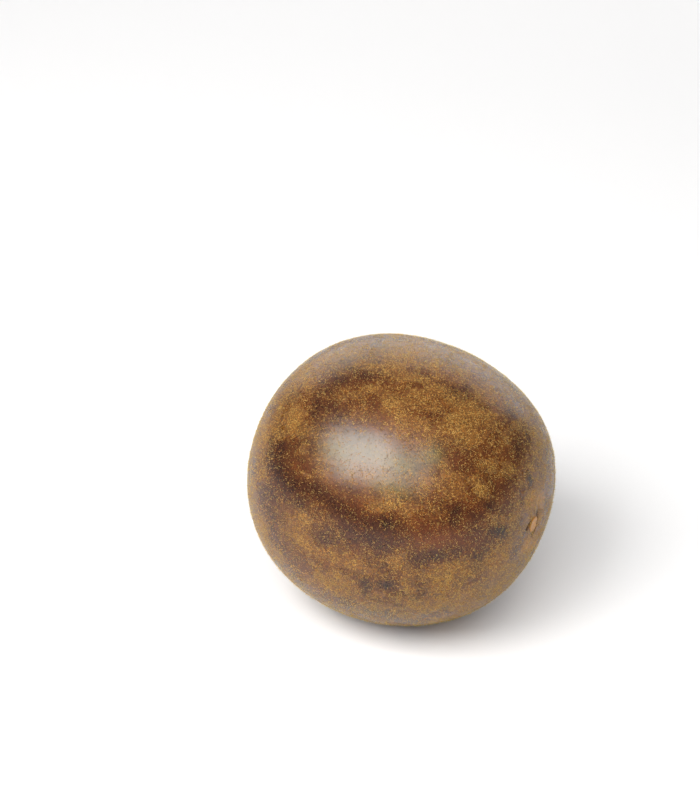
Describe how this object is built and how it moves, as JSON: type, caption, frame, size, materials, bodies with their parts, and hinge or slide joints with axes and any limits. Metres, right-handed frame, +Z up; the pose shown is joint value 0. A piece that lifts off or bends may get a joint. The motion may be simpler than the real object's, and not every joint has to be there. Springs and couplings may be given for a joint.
{
  "type": "dried monk fruit",
  "caption": "Whole dried monk fruit, a slightly long brown ball with a round stalk scar at one end, lying on a small flat spot.",
  "frame": {"origin": "below the middle of the fruit's outline seen from above, on the small flat spot that it rests on", "axes": "+X along the stalk axis towards the stalk scar, +Z up from the surface that the fruit lies on"},
  "size_m": [0.0614, 0.0588, 0.0567],
  "materials": {
    "rind": "dried gourd rind, warm brown with dark blotches and golden down, rubbed to a soft sheen"
  },
  "bodies": {
    "root": {"fruit": "rind"}
  },
  "joints": []
}
